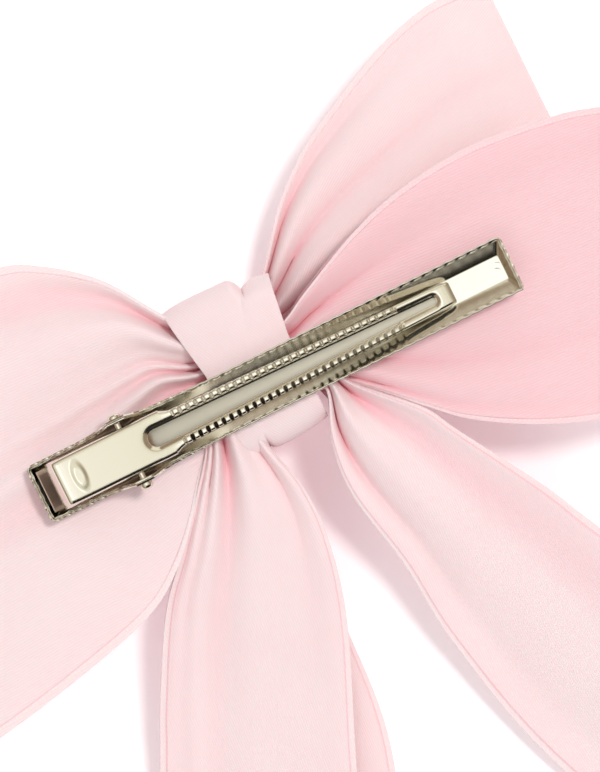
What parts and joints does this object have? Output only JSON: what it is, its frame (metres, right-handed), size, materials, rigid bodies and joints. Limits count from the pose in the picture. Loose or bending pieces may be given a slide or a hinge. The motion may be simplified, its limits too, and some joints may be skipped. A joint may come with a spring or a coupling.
{
  "type": "alligator hair clip with ribbon bow",
  "caption": "Sprung flat alligator hair clip with a long slotted jaw, glued to a double satin ribbon bow with tails.",
  "frame": {"origin": "middle of the knot wrap's front face, on the surface that the bow lies on", "axes": "+X along the clip from its thumb end to the tip of its jaws, +Y away from the tails, +Z from the bow's front to the clip"},
  "size_m": [0.161, 0.1484, 0.03],
  "materials": {
    "nickel_plate": "bright nickel plating",
    "spring_steel": "brushed spring steel",
    "hot_melt": "translucent hot-melt glue",
    "satin": "pale pink satin, fine cross weave",
    "thread": "pink sewing thread"
  },
  "bodies": {
    "base": {"base_tray": "nickel_plate", "pivot_pin": "nickel_plate", "leaf_spring": "spring_steel", "glue_pad": "hot_melt", "knot_wrap": "satin", "tie_thread": "thread", "back_loops": "satin", "front_loops": "satin", "back_tails": "satin", "front_tails": "satin"},
    "lever": {"lever": "nickel_plate"}
  },
  "joints": [
    {"name": "jaw_hinge", "type": "hinge", "parent": "base", "child": "lever", "pos_m": [-0.0222, -0.0036, 0.02645], "axis": [0, -1, 0], "range_deg": [0, 15], "stiffness_Nm_per_rad": 0.15, "springref_deg": -22.92, "deforming": ["leaf_spring"]}
  ]
}
